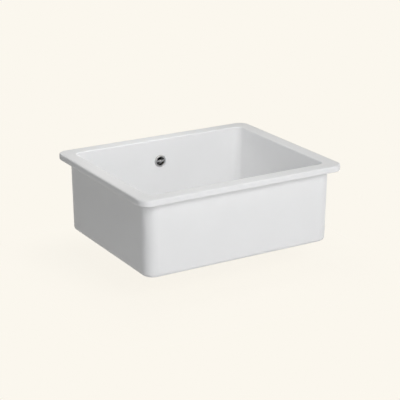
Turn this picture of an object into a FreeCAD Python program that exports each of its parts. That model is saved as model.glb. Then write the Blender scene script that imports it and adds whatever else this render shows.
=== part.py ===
"""Ceramic inset sink with a basket strainer waste and an overflow set.

Frame: +Z up, +X along the long side, +Y towards the back wall that holds the overflow.
The origin is the centre of the rim's underside, the plane on which the sink is seated.
All sizes are in millimetres and degrees. The sheet holds the sizes that a maker would set;
every sketch, feature and placement is bound to them by an expression.
"""
import FreeCAD
import Part
import Sketcher
import math
import os
import re

from FreeCAD import Placement, Rotation, Vector

SIZES = {
    # fireclay basin
    "rim_length": 560,
    "rim_width": 460,
    "overall_height": 200,
    "rim_thickness": 16.4,
    "rim_overhang": 21,
    "rim_corner": 28,
    "rim_edge_round": 4.3,
    "wall_thickness": 15,
    "draft_angle": 0.78,
    "body_corner": 31,
    "base_edge_round": 9.5,
    "base_thickness": 12,
    "bowl_corner": 17,
    "bowl_foot_round": 13,
    "bowl_edge_round": 3.5,
    "floor_fall": 3,
    "recess_depth": 3,
    # strainer dish and what clamps it through the floor
    "waste_hole_radius": 45,
    "dish_flange_width": 12,
    "dish_flange_room": 1.5,
    "throat_room": 2,
    "dish_taper": 2,
    "dish_depth": 40,
    "dish_bend": 4,
    "sheet_gauge": 1.2,
    "slot_inset": 3,
    "slot_margin": 4.4,
    "slot_round": 1.5,
    "spoke_width": 5,
    "dish_seal_thickness": 1.2,
    "dish_seal_inset": 1,
    "gasket_thickness": 3,
    "gasket_room": 1.5,
    # waste body under the floor
    "body_flange_width": 9,
    "body_flange_thickness": 4,
    "body_wall": 3,
    "body_bend": 5,
    "dish_room": 5,
    "plate_room": 5,
    "cone_room": 0.3,
    "cone_height": 16,
    "outlet_thread": 23.9,
    "outlet_wall": 3.9,
    "outlet_length": 30,
    "hub_wall": 3,
    "hub_gap": 3,
    "hub_rise": 2,
    "rib_thickness": 2.5,
    "rib_sink": 2,
    "nozzle_room": 2.5,
    "nozzle_length": 18,
    # fixing screw with its guide post
    "screw_radius": 3,
    "screw_room": 0.3,
    "screw_reach": 14,
    "screw_point": 1,
    "post_wall": 1,
    "post_height": 14,
    "post_chamfer": 0.8,
    "collar_width": 3.5,
    "collar_height": 2,
    "driver_slot": 1.4,
    "driver_depth": 2.1,
    "washer_width": 2.5,
    "washer_thickness": 1,
    "insert_wall": 2,
    "insert_length": 12,
    # lift-out basket
    "basket_room": 0.6,
    "plug_room": 0.3,
    "cup_gauge": 1,
    "lip_clearance": 1.5,
    "lip_width": 2.3,
    "cup_taper": 2.5,
    "cup_sink": 4,
    "cup_bend": 3,
    "floor_hole": 2,
    "floor_hole_room": 2.5,
    "side_slot_width": 3,
    "side_slot_height": 11,
    "stem_wall": 1.2,
    "stem_shoulder_width": 2.5,
    "stem_shoulder_height": 1.5,
    "stem_height": 27,
    "post_clearance": 0.3,
    "post_headroom": 3,
    "grip_clearance": 0.1,
    "grip_depth": 1,
    "grip_height": 2.4,
    "grip_rise": 2,
    "spigot_radius": 3,
    "spigot_length": 8,
    "spigot_headroom": 0.5,
    "knob_radius": 12,
    "knob_height": 14,
    "knob_neck": 5.6,
    "knob_neck_round": 6,
    "knob_foot_width": 1,
    "knob_waist_width": 0.5,
    "knob_brim": 8.4,
    "knob_crown": 2,
    "plug_inset": 2.3,
    "plug_lip": 3.6,
    "plug_centre": 3,
    "plug_boss_width": 3.5,
    "plug_relief": 0.8,
    "plug_bevel": 1.5,
    "plug_lip_slope": 3,
    "plug_shoulder": 1,
    "retainer_width": 9.5,
    "retainer_thickness": 1.2,
    "stem_nut_wall": 3,
    "stem_nut_height": 3.2,
    # overflow through the back wall
    "overflow_drop": 59,
    "overflow_hole": 12.5,
    "rosette_cover": 4,
    "rosette_rise": 3,
    "rosette_bevel": 2,
    "skirt_room": 0.6,
    "skirt_wall": 1.1,
    "skirt_length": 6,
    "bar_width": 4.4,
    "bar_depth": 3,
    "button_rim": 0.6,
    "button_rise": 0.9,
    "overflow_screw_radius": 2,
    "overflow_screw_head": 3.4,
    "overflow_screw_edge": 1.2,
    "overflow_screw_crown": 1.9,
    "overflow_screw_slot": 0.9,
    "overflow_screw_room": 0.2,
    "overflow_gasket_room": 1.5,
    "overflow_gasket_inset": 2,
    "overflow_gasket_thickness": 3,
    "head_flange_width": 5,
    "head_flange_thickness": 3,
    "chamber_room": 3,
    "chamber_wall": 2.5,
    "boss_wall": 1.6,
    "boss_sink": 1,
    "boss_room": 3,
    "overflow_insert_wall": 1.5,
    "spigot_depth_room": 0.5,
    "spigot_reach_room": 3,
    # rigid overflow pipe and its two compression joints
    "pipe_radius": 10,
    "pipe_wall": 1.5,
    "pipe_bend": 38,
    "pipe_room": 0.2,
    "nozzle_wall": 3.3,
    "socket_depth": 14,
    "nut_wall": 4,
    "nut_length": 17,
    "nut_grip": 9,
    "nut_taper": 3.5,
    "nut_lip": 2,
    "nut_chamfer": 2.5,
    "grip_rib_width": 2.4,
    "grip_rib_rise": 1.2,
    "grip_rib_margin": 1,
    "ring_room": 0.15,
    "ring_edge": 0.6,
    "ring_stop": 0.5,
}

# radii on the waste axis, from the hole outwards and inwards
THROAT = "(waste_hole_radius - throat_room)"
DISH_FLANGE = "(waste_hole_radius + dish_flange_width)"
DISH_PLATE = f"({THROAT} - dish_taper)"
BODY_FLANGE = "(waste_hole_radius + body_flange_width)"
BODY_BORE = f"({THROAT} + dish_room)"
OUTLET_BORE = "(outlet_thread - outlet_wall)"
INSERT = "(screw_radius + insert_wall)"
HUB = f"({INSERT} + hub_wall)"
POST = "(screw_radius + post_wall)"
COLLAR = f"({POST} + collar_width)"
SCREW_WASHER = f"({COLLAR} + washer_width)"
STEM_BORE = f"({POST} + post_clearance)"
GRIP = f"({STEM_BORE} + grip_depth)"
STEM = f"({GRIP} + stem_wall)"
STEM_SHOULDER = f"({STEM} + stem_shoulder_width)"
RETAINER = f"({STEM} + retainer_width)"
CUP_LIP = f"({THROAT} - sheet_gauge - lip_clearance)"
CUP_TOP = f"({CUP_LIP} - lip_width)"
CUP_BOTTOM = f"({CUP_TOP} - cup_taper)"
PLUG = f"({DISH_PLATE} - sheet_gauge - dish_bend - plug_inset)"
SLOT_START = f"({SCREW_WASHER} + slot_inset)"
SLOT_END = f"({PLUG} - plug_lip - slot_margin)"

# radii of the pipe's joints and of what stands round the overflow's axis
NOZZLE_BORE = "(pipe_radius - pipe_wall)"
NOZZLE = "(pipe_radius + pipe_room + nozzle_wall)"
NUT = f"({NOZZLE} + nut_wall)"
SKIRT_BORE = "(overflow_hole - skirt_room - skirt_wall)"
ROSETTE = "(overflow_hole + rosette_cover)"
BUTTON = "(overflow_screw_head + button_rim)"
CHAMBER = "(overflow_hole + chamber_room + chamber_wall)"
HEAD_FLANGE = f"({CHAMBER} + head_flange_width)"
OVERFLOW_INSERT = "(overflow_screw_radius + overflow_insert_wall)"
BOSS = f"({OVERFLOW_INSERT} + boss_wall)"

# levels on the waste axis, from the origin plane down
BASE = "(rim_thickness - overall_height)"
RECESS = f"({BASE} + base_thickness)"
FLOOR = f"({RECESS} + recess_depth + floor_fall)"
SEAT = f"({RECESS} + dish_seal_thickness)"
PLATE = f"({SEAT} + sheet_gauge - dish_depth)"
FLANGE = f"({BASE} - gasket_thickness)"
INLET = f"({FLANGE} - body_flange_thickness - nozzle_room - {NOZZLE})"

# the waste body's own levels, from its flange down
PLATE_UNDER = "(base_thickness + dish_seal_thickness + gasket_thickness - dish_depth)"
CONE_TOP = f"min({PLATE_UNDER} - plate_room; {INLET} - {FLANGE} - {NOZZLE_BORE} - cone_room)"
CONE_FOOT = f"({CONE_TOP} - cone_height)"
OUTLET_END = f"({CONE_FOOT} - outlet_length)"
HUB_TOP = f"({PLATE_UNDER} - hub_gap)"
HUB_FOOT = f"({CONE_FOOT} + hub_rise)"
INLET_END = f"({BODY_FLANGE} + nozzle_length)"

# the basket's own levels, from the top of the dish's plate up
NUT_FOOT = "(washer_thickness + collar_height + basket_room)"
RETAINER_FOOT = f"({NUT_FOOT} + stem_nut_height)"
PLUG_FOOT = f"({RETAINER_FOOT} + retainer_thickness)"
CUP_FOOT = f"({PLUG_FOOT} + plug_centre)"
CUP_FLOOR = f"({CUP_FOOT} + cup_gauge)"
STEM_TOP = f"({NUT_FOOT} + stem_height)"
CUP_RIM = "(dish_depth - cup_sink)"
GRIP_FOOT = f"({RETAINER_FOOT} + grip_rise)"
BORE_TOP = "(washer_thickness + post_height + post_headroom)"

# the overflow: depth of the bowl's wall, the clamped thickness and the places along its axis
DRIFT = "tan(draft_angle)"
OVERFLOW_Z = "(rim_thickness - overflow_drop)"
OVERFLOW_Y = f"(rim_width / 2 - rim_overhang - wall_thickness + {OVERFLOW_Z} * {DRIFT})"
WALL = "(wall_thickness * cos(draft_angle))"
HEAD_SEAT = f"({WALL} + overflow_gasket_thickness)"
HEAD_DEPTH = f"(head_flange_thickness + 2 * {NOZZLE} + spigot_depth_room)"
SPIGOT_AXIS = f"({HEAD_DEPTH} - {NOZZLE})"
SPIGOT_END = f"({CHAMBER} + nut_length + spigot_reach_room)"

OUTLET_RIBS = 3
DISH_SLOTS = 6
FLOOR_HOLE_RINGS = (8, 12, 16)
SIDE_SLOTS = 16
GRIP_RIBS = 10
HEXAGON = 6
OVERCUT = 1  # how far a cutter stands past the face that it cuts from
OVERLAP = 1  # how far one feature starts inside the one that it joins

document = FreeCAD.newDocument("Sink")
sheet = document.addObject("Spreadsheet::Sheet", "Sizes")


def fill_sheet():
    """Write every size as a plain number with its name beside it."""
    for row, (name, size) in enumerate(SIZES.items(), start=1):
        sheet.set(f"A{row}", name.replace("_", " "))
        sheet.set(f"B{row}", str(size))
        sheet.setAlias(f"B{row}", name)
    document.recompute()


def value(text):
    """The number that an expression of sizes has now."""
    return float(sheet.evalExpression(str(text)))


def bound(text):
    """The same expression as an object outside the sheet has to write it."""
    words = r"\b(" + "|".join(SIZES) + r")\b"
    return re.sub(words, r"Sizes.\1", str(text))


def bind(item, **properties):
    """Bind properties of an object to expressions; a double underscore stands for a dot."""
    for name, text in properties.items():
        item.setExpression(name.replace("__", "."), bound(text))


# ---------------------------------------------------------------- sketches

def new_body(name):
    body = document.addObject("PartDesign::Body", name)
    body.Label = name
    return body


def new_sketch(body, role, x="0", y="0", z="0", turn="0"):
    """A sketch on one of the body's origin planes, shifted and turned in the plane's own frame."""
    sketch = body.newObject("Sketcher::SketchObject", f"{body.Name}_sketch")
    plane = next(item for item in body.Origin.OriginFeatures if item.Role == role)
    sketch.AttachmentSupport = [(plane, "")]
    sketch.MapMode = "FlatFace"
    sketch.AttachmentOffset = Placement(Vector(0, 0, 0), Rotation(Vector(1, 0, 0), value(turn)))
    for axis, text in (("x", x), ("y", y), ("z", z)):
        if text != "0":
            sketch.setExpression(f"AttachmentOffset.Base.{axis}", bound(text))
    if turn != "0":
        sketch.setExpression("AttachmentOffset.Rotation.Angle", bound(turn))
    document.recompute()
    return sketch


def size_constraint(sketch, text, *constraint):
    """Add a driving constraint and bind it to its expression."""
    index = sketch.addConstraint(Sketcher.Constraint(*constraint, value(text)))
    sketch.setExpression(f"Constraints[{index}]", bound(text))


def fix_point(sketch, item, end, x, y):
    """Hold a point of the sketch at the expressions x and y."""
    for kind, axis, text in (("DistanceX", -2, x), ("DistanceY", -1, y)):
        if abs(value(text)) < 1e-9:
            sketch.addConstraint(Sketcher.Constraint("PointOnObject", item, end, axis))
        else:
            size_constraint(sketch, text, kind, -1, 1, item, end)


def round_corner(sketch, before, after, corner, place, start, finish, centre):
    """Join two lines by a tangent arc and hold the sharp corner between them."""
    x, y, radius = corner
    turn = (start - place).cross(finish - place).z
    first, last = (start, finish) if turn < 0 else (finish, start)
    begin = math.atan2(first.y - centre.y, first.x - centre.x)
    end = math.atan2(last.y - centre.y, last.x - centre.x)
    if end < begin:
        end += 2 * math.pi
    circle = Part.Circle(centre, Vector(0, 0, 1), value(radius))
    arc = sketch.addGeometry(Part.ArcOfCircle(circle, begin, end), False)
    near, far = (1, 2) if turn < 0 else (2, 1)
    sketch.addConstraint(Sketcher.Constraint("Tangent", before, 2, arc, near))
    sketch.addConstraint(Sketcher.Constraint("Tangent", arc, far, after, 1))
    size_constraint(sketch, radius, "Radius", arc)
    point = sketch.addGeometry(Part.Point(place), True)
    sketch.addConstraint(Sketcher.Constraint("PointOnObject", point, 1, before))
    sketch.addConstraint(Sketcher.Constraint("PointOnObject", point, 1, after))
    fix_point(sketch, point, 1, x, y)


def outline(sketch, corners, closed=True):
    """Lines through the corners (x, y) or (x, y, radius), with an arc where a radius is given."""
    places = [Vector(value(corner[0]), value(corner[1]), 0) for corner in corners]
    count = len(corners)
    inner = range(count) if closed else range(1, count - 1)
    starts = list(places)
    finishes = list(places)
    centres = {}
    for index in inner:
        if len(corners[index]) < 3:
            continue
        back = (places[index - 1] - places[index]).normalize()
        ahead = (places[(index + 1) % count] - places[index]).normalize()
        half = back.getAngle(ahead) / 2
        radius = value(corners[index][2])
        starts[index] = places[index] + back * (radius / math.tan(half))
        finishes[index] = places[index] + ahead * (radius / math.tan(half))
        centres[index] = places[index] + (back + ahead).normalize() * (radius / math.sin(half))
    lines = []
    for index in range(count if closed else count - 1):
        segment = Part.LineSegment(finishes[index], starts[(index + 1) % count])
        lines.append(sketch.addGeometry(segment, False))
    for index in inner:
        before, after = lines[index - 1], lines[index]
        if index in centres:
            round_corner(sketch, before, after, corners[index], places[index],
                         starts[index], finishes[index], centres[index])
        else:
            sketch.addConstraint(Sketcher.Constraint("Coincident", before, 2, after, 1))
            fix_point(sketch, after, 1, *corners[index][:2])
    if not closed:
        fix_point(sketch, lines[0], 1, *corners[0][:2])
        fix_point(sketch, lines[-1], 2, *corners[-1][:2])
    return sketch


def rounded_rectangle(sketch, length, width, radius):
    """A rectangle about the sketch's origin with four equal round corners."""
    x, y = f"({length}) / 2", f"({width}) / 2"
    return outline(sketch, [(x, y, radius), (f"-{x}", y, radius),
                            (f"-{x}", f"-{y}", radius), (x, f"-{y}", radius)])


def circle(sketch, radius, x="0", y="0"):
    item = sketch.addGeometry(
        Part.Circle(Vector(value(x), value(y), 0), Vector(0, 0, 1), value(radius)), False)
    size_constraint(sketch, radius, "Radius", item)
    fix_point(sketch, item, 3, x, y)
    return sketch


# ---------------------------------------------------------------- features

def revolve(body, corners):
    """Turn a closed outline of (radius, height) corners about the body's Z axis."""
    sketch = outline(new_sketch(body, "XZ_Plane"), corners)
    feature = body.newObject("PartDesign::Revolution", f"{body.Name}_turned")
    feature.Profile = sketch
    feature.ReferenceAxis = (sketch, ["V_Axis"])
    feature.Angle = 360
    document.recompute()
    return feature


def pad(body, sketch, length, reverse=False, middle=False, taper="0"):
    feature = body.newObject("PartDesign::Pad", f"{body.Name}_pad")
    feature.Profile = sketch
    feature.Reversed = reverse
    feature.Midplane = middle
    bind(feature, Length=length)
    if taper != "0":
        bind(feature, TaperAngle=taper)
    document.recompute()
    return feature


def pocket(body, sketch, length=None, reverse=False, middle=False, taper="0"):
    """Cut a sketch out of the body, through all of it where no length is given."""
    before = body.Shape.Volume
    feature = body.newObject("PartDesign::Pocket", f"{body.Name}_pocket")
    feature.Profile = sketch
    feature.Reversed = reverse
    feature.Midplane = middle
    if length is None:
        feature.Type = "ThroughAll"
    else:
        bind(feature, Length=length)
    if taper != "0":
        bind(feature, TaperAngle=taper)
    document.recompute()
    if body.Shape.Volume >= before:
        raise RuntimeError(f"{feature.Name} cuts nothing")
    return feature


def around(body, feature, count):
    """Repeat a feature at equal angles about the body's Z axis."""
    pattern = body.newObject("PartDesign::PolarPattern", f"{body.Name}_pattern")
    pattern.Originals = [feature]
    pattern.Axis = (next(item for item in body.Origin.OriginFeatures if item.Role == "Z_Axis"), [""])
    pattern.Angle = 360
    pattern.Occurrences = count
    body.Tip = pattern
    document.recompute()
    return pattern


def fillet(body, feature, radius, chosen):
    """Round the edges of a feature for which chosen(edge) is true."""
    names = [f"Edge{index}" for index, edge in enumerate(feature.Shape.Edges, start=1) if chosen(edge)]
    if not names:
        raise RuntimeError(f"no edge to round on {body.Label}")
    item = body.newObject("PartDesign::Fillet", f"{body.Name}_round")
    item.Base = (feature, names)
    bind(item, Radius=radius)
    document.recompute()
    return item


def at_height(text):
    """A test for edges that lie in a horizontal plane of the body's own frame."""
    level = value(text)
    return lambda edge: (abs(edge.BoundBox.ZMin - level) < 1e-4
                         and abs(edge.BoundBox.ZMax - level) < 1e-4)


def inside(test, half_length):
    """Narrow a test to edges that stay within a half length on either side."""
    limit = value(half_length)
    return lambda edge: test(edge) and max(abs(edge.BoundBox.XMin), abs(edge.BoundBox.XMax)) < limit


def washer(name, outer, inner, thickness):
    """A flat ring on its own Z axis, standing on its own origin plane."""
    blank = document.addObject("Part::Cylinder", f"{name}_blank")
    bind(blank, Radius=outer, Height=thickness)
    bore = document.addObject("Part::Cylinder", f"{name}_bore")
    bind(bore, Radius=inner, Height=f"{thickness} + {2 * OVERCUT}")
    bore.Placement = Placement(Vector(0, 0, -OVERCUT), Rotation())
    ring = document.addObject("Part::Cut", name)
    ring.Base = blank
    ring.Tool = bore
    ring.Label = name
    document.recompute()
    return ring


def place(item, y="0", z="0", angle="0"):
    """Put a sub-part on the plane of symmetry, turned about X."""
    item.Placement = Placement(Vector(0, 0, 0), Rotation(Vector(1, 0, 0), value(angle) or 1))
    bind(item, Placement__Base__y=y, Placement__Base__z=z, Placement__Rotation__Angle=angle)
    document.recompute()
    return item


def along_wall(up, out):
    """World y and z of a point near the overflow: up the back wall and out of it into the bowl."""
    y = f"({OVERFLOW_Y} + {up} * sin(draft_angle) - {out} * cos(draft_angle))"
    z = f"({OVERFLOW_Z} + {up} * cos(draft_angle) + {out} * sin(draft_angle))"
    return y, z


def place_on_wall(item, out="0"):
    """Put a sub-part on the overflow's axis, its own Z pointing out of the wall into the bowl."""
    return place(item, *along_wall("0", out), angle="90 - draft_angle")


# ---------------------------------------------------------------- the basin

def basin():
    """Rim, drafted box, bowl, falling floor, waste recess and hole, overflow hole."""
    body = new_body("basin")
    rim = rounded_rectangle(new_sketch(body, "XY_Plane"), "rim_length", "rim_width", "rim_corner")
    slab = pad(body, rim, "rim_thickness")
    rim_levels = at_height("0"), at_height("rim_thickness")
    fillet(body, slab, "rim_edge_round", lambda edge: any(test(edge) for test in rim_levels))

    box = rounded_rectangle(new_sketch(body, "XY_Plane"), "rim_length - 2 * rim_overhang",
                            "rim_width - 2 * rim_overhang", "body_corner")
    walls = pad(body, box, f"-{BASE}", reverse=True, taper="-draft_angle")
    fillet(body, walls, "base_edge_round", at_height(BASE))

    widen = f"2 * (rim_thickness * {DRIFT} - rim_overhang - wall_thickness)"
    mouth = new_sketch(body, "XY_Plane", z="rim_thickness")
    rounded_rectangle(mouth, f"rim_length + {widen}", f"rim_width + {widen}", "bowl_corner")
    bowl = pocket(body, mouth, f"rim_thickness - {FLOOR}", taper="-draft_angle")
    footed = fillet(body, bowl, "bowl_foot_round", at_height(FLOOR))
    brim = inside(at_height("rim_thickness"), "rim_length / 2 - rim_overhang")
    fillet(body, footed, "bowl_edge_round", brim)

    falling_floor(body)
    recess = circle(new_sketch(body, "XY_Plane", z=RECESS), f"{DISH_FLANGE} + dish_flange_room")
    pocket(body, recess, "recess_depth + floor_fall", reverse=True)
    pocket(body, circle(new_sketch(body, "XY_Plane", z=FLOOR), "waste_hole_radius"))

    wall = new_sketch(body, "XZ_Plane", y=OVERFLOW_Z, z=f"-{OVERFLOW_Y}", turn="-draft_angle")
    pocket(body, circle(wall, "overflow_hole"), f"2 * (wall_thickness + rim_overhang + {OVERCUT})",
           middle=True)
    return place(body)


def falling_floor(body):
    """Four shallow planes from the foot of the walls down to the waste recess."""
    reach = f"(rim_overhang + wall_thickness - {FLOOR} * {DRIFT} + bowl_foot_round + {OVERLAP})"
    wedge = body.newObject("PartDesign::SubtractiveWedge", "basin_fall")
    plane = next(item for item in body.Origin.OriginFeatures if item.Role == "XY_Plane")
    wedge.AttachmentSupport = [(plane, "")]
    wedge.MapMode = "FlatFace"
    wedge.AttachmentOffset = Placement(Vector(0, 0, 0), Rotation(Vector(1, 0, 0), -90))
    wedge.setExpression("AttachmentOffset.Base.z", bound(FLOOR))
    half_length = f"(rim_length / 2 - {reach})"
    half_width = f"(rim_width / 2 - {reach})"
    drain = f"({DISH_FLANGE} + dish_flange_room + {OVERLAP})"
    bind(wedge, Xmin=f"-{half_length}", Xmax=half_length, Zmin=f"-{half_width}", Zmax=half_width,
         Ymin="0", Ymax="floor_fall", X2min=f"-{drain}", X2max=drain, Z2min=f"-{drain}", Z2max=drain)
    document.recompute()


# ---------------------------------------------------------------- the strainer waste

def strainer_dish():
    """Pressed steel dish whose flange lies in the floor's recess, with a slotted bottom."""
    body = new_body("strainer_dish")
    revolve(body, [
        (DISH_FLANGE, "0"),
        (DISH_FLANGE, "sheet_gauge"),
        (f"{THROAT} - sheet_gauge", "sheet_gauge", "dish_bend + sheet_gauge"),
        (f"{DISH_PLATE} - sheet_gauge", "sheet_gauge - dish_depth", "dish_bend"),
        ("screw_radius + screw_room", "sheet_gauge - dish_depth"),
        ("screw_radius + screw_room", "-dish_depth"),
        (DISH_PLATE, "-dish_depth", "dish_bend + sheet_gauge"),
        (THROAT, "0", "dish_bend"),
    ])
    half_angle = 180 / DISH_SLOTS
    narrow = f"({SLOT_START} * tan({half_angle}) - spoke_width / 2)"
    wide = f"({SLOT_END} * tan({half_angle}) - spoke_width / 2)"
    slot = outline(new_sketch(body, "XY_Plane"), [
        (SLOT_START, f"-{narrow}", "slot_round"),
        (SLOT_END, f"-{wide}", "slot_round"),
        (SLOT_END, wide, "slot_round"),
        (SLOT_START, narrow, "slot_round"),
    ])
    around(body, pocket(body, slot), DISH_SLOTS)
    return place(body, z=SEAT)


def dish_seal():
    """Rubber ring between the dish's flange and the recess."""
    ring = washer("dish_seal", f"{DISH_FLANGE} - dish_seal_inset", f"{THROAT} + dish_bend",
                  "dish_seal_thickness")
    return place(ring, z=RECESS)


def waste_gasket():
    """Thick rubber ring between the basin's underside and the waste body."""
    ring = washer("waste_gasket", BODY_FLANGE, "waste_hole_radius + gasket_room",
                  "gasket_thickness")
    return place(ring, z=FLANGE)


def waste_body():
    """Moulded body: flange, cup round the dish, cone, threaded outlet, ribbed hub and side nozzle."""
    body = new_body("waste_body")
    revolve(body, [
        (BODY_FLANGE, "0"),
        (BODY_FLANGE, "-body_flange_thickness"),
        (f"{BODY_BORE} + body_wall", "-body_flange_thickness"),
        (f"{BODY_BORE} + body_wall", f"{CONE_TOP} - body_wall / 2", "body_bend"),
        ("outlet_thread", f"{CONE_FOOT} - body_wall / 2"),
        ("outlet_thread", OUTLET_END),
        (OUTLET_BORE, OUTLET_END),
        (OUTLET_BORE, CONE_FOOT),
        (BODY_BORE, CONE_TOP),
        (BODY_BORE, "0"),
    ])
    hub = circle(new_sketch(body, "XY_Plane", z=HUB_TOP), HUB)
    pad(body, hub, f"{HUB_TOP} - {HUB_FOOT}", reverse=True)
    around(body, pad(body, hub_rib(body), "rib_thickness", middle=True), OUTLET_RIBS)
    level = f"{INLET} - {FLANGE}"
    root = f"({BODY_BORE} - {OVERLAP})"
    nozzle = circle(new_sketch(body, "XZ_Plane", y=level, z=f"-{root}"), NOZZLE)
    pad(body, nozzle, f"{INLET_END} - {root}", reverse=True)
    bore = circle(new_sketch(body, "XZ_Plane", y=level, z=f"body_wall - {root}"), NOZZLE_BORE)
    pocket(body, bore, f"{INLET_END} - {root} + body_wall + {OVERCUT}")
    socket = circle(new_sketch(body, "XZ_Plane", y=level, z=f"socket_depth - {INLET_END}"),
                    "pipe_radius + pipe_room")
    pocket(body, socket, f"socket_depth + {OVERCUT}")
    pocket(body, circle(new_sketch(body, "XY_Plane", z=HUB_TOP), INSERT), "insert_length")
    pocket(body, circle(new_sketch(body, "XY_Plane", z=HUB_TOP), "screw_radius + screw_room"))
    return place(body, z=FLANGE)


def hub_rib(body):
    """Upright web from the hub to the cone, its outer edge buried in the cone's wall."""
    slope = f"(({BODY_BORE} - {OUTLET_BORE}) / cone_height)"
    buried = f"({OUTLET_BORE} + body_wall / 2)"
    fall = "(cone_height - rib_sink)"
    rise = f"(hub_rise + {OVERLAP})"
    inner = f"({HUB} - {OVERLAP})"
    return outline(new_sketch(body, "XZ_Plane"), [
        (inner, f"{CONE_FOOT} + {fall}"),
        (f"{buried} + {fall} * {slope}", f"{CONE_FOOT} + {fall}"),
        (f"{buried} + {rise} * {slope}", f"{CONE_FOOT} + {rise}"),
        (inner, f"{CONE_FOOT} + {rise}"),
    ])


def hub_insert():
    """Brass thread pressed into the hub."""
    ring = washer("hub_insert", INSERT, "screw_radius", "insert_length")
    return place(ring, z=f"{FLANGE} + {HUB_TOP} - insert_length")


def screw_washer():
    ring = washer("screw_washer", SCREW_WASHER, "screw_radius + screw_room", "washer_thickness")
    return place(ring, z=PLATE)


def fixing_screw():
    """Screw that pulls dish and body together; its tall head guides the basket."""
    body = new_body("fixing_screw")
    reach = "(washer_thickness + sheet_gauge + hub_gap + screw_reach)"
    revolve(body, [
        ("0", "post_height"),
        (f"{POST} - post_chamfer", "post_height"),
        (POST, "post_height - post_chamfer"),
        (POST, "collar_height"),
        (COLLAR, "collar_height"),
        (COLLAR, "0"),
        ("screw_radius", "0"),
        ("screw_radius", f"-{reach} + screw_point"),
        ("screw_radius - screw_point", f"-{reach}"),
        ("0", f"-{reach}"),
    ])
    slot = outline(new_sketch(body, "XY_Plane", z="post_height"), [
        (f"-{COLLAR}", "-driver_slot / 2"),
        (COLLAR, "-driver_slot / 2"),
        (COLLAR, "driver_slot / 2"),
        (f"-{COLLAR}", "driver_slot / 2"),
    ])
    pocket(body, slot, "driver_depth")
    return place(body, z=f"{PLATE} + washer_thickness")


# ---------------------------------------------------------------- the lift-out basket

def basket_cup():
    """Pressed steel basket, perforated in its floor and slotted in its side."""
    body = new_body("basket_cup")
    revolve(body, [
        (STEM, CUP_FOOT),
        (CUP_BOTTOM, CUP_FOOT, "cup_bend + cup_gauge"),
        (CUP_TOP, f"{CUP_RIM} - cup_gauge"),
        (CUP_LIP, f"{CUP_RIM} - cup_gauge"),
        (CUP_LIP, CUP_RIM),
        (f"{CUP_TOP} - cup_gauge", CUP_RIM),
        (f"{CUP_BOTTOM} - cup_gauge", CUP_FLOOR, "cup_bend"),
        (STEM, CUP_FLOOR),
    ])
    first = f"({STEM_SHOULDER} + floor_hole + floor_hole_room)"
    last = f"({CUP_BOTTOM} - cup_gauge - cup_bend - floor_hole - floor_hole_room)"
    for ring, count in enumerate(FLOOR_HOLE_RINGS):
        radius = f"({first} + ({last} - {first}) * {ring / (len(FLOOR_HOLE_RINGS) - 1)})"
        hole = circle(new_sketch(body, "XY_Plane", z=f"{CUP_FLOOR} + {OVERCUT}"), "floor_hole", x=radius)
        around(body, pocket(body, hole, f"cup_gauge + {2 * OVERCUT}"), count)
    middle = f"(({CUP_FLOOR} + {CUP_RIM}) / 2)"
    low, high = f"({middle} - side_slot_height / 2)", f"({middle} + side_slot_height / 2)"
    half = "side_slot_width / 2"
    nearly_half = f"{half} - 0.1"  # the arcs of one end stay apart, so a short flat is left
    slot = outline(new_sketch(body, "YZ_Plane"), [
        (f"-{half}", low, nearly_half), (half, low, nearly_half),
        (half, high, nearly_half), (f"-{half}", high, nearly_half),
    ])
    around(body, pocket(body, slot, CUP_LIP), SIDE_SLOTS)
    return place(body, z=PLATE)


def basket_stem():
    """Turned post of the basket: threaded foot, shoulder, bore for the guide post, knob spigot."""
    body = new_body("basket_stem")
    revolve(body, [
        (STEM_BORE, NUT_FOOT),
        (STEM, NUT_FOOT),
        (STEM, CUP_FLOOR),
        (STEM_SHOULDER, CUP_FLOOR),
        (STEM_SHOULDER, f"{CUP_FLOOR} + stem_shoulder_height"),
        (STEM, f"{CUP_FLOOR} + stem_shoulder_height + stem_shoulder_width"),
        (STEM, STEM_TOP),
        ("spigot_radius", STEM_TOP),
        ("spigot_radius", f"{STEM_TOP} + spigot_length"),
        ("0", f"{STEM_TOP} + spigot_length"),
        ("0", BORE_TOP),
        (STEM_BORE, BORE_TOP),
        (STEM_BORE, f"{GRIP_FOOT} + grip_height"),
        (GRIP, f"{GRIP_FOOT} + grip_height"),
        (GRIP, GRIP_FOOT),
        (STEM_BORE, GRIP_FOOT),
    ])
    return place(body, z=PLATE)


def basket_grip():
    """Rubber ring in the stem's groove, which holds the basket on the guide post."""
    ring = washer("basket_grip", GRIP, f"{POST} + grip_clearance", "grip_height")
    return place(ring, z=f"{PLATE} + {GRIP_FOOT}")


def basket_knob():
    """Waisted knob to lift and turn the basket by."""
    body = new_body("basket_knob")
    revolve(body, [
        ("spigot_radius", "0"),
        (f"{STEM} + knob_foot_width", "0"),
        (f"{STEM} + knob_waist_width", "knob_neck", "knob_neck_round"),
        ("knob_radius", "knob_brim", "knob_crown * 3 / 4"),
        ("knob_radius", "knob_height - knob_crown", "knob_crown * 3 / 2"),
        ("0", "knob_height"),
        ("0", "spigot_length + spigot_headroom"),
        ("spigot_radius", "spigot_length + spigot_headroom"),
    ])
    return place(body, z=f"{PLATE} + {STEM_TOP}")


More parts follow.
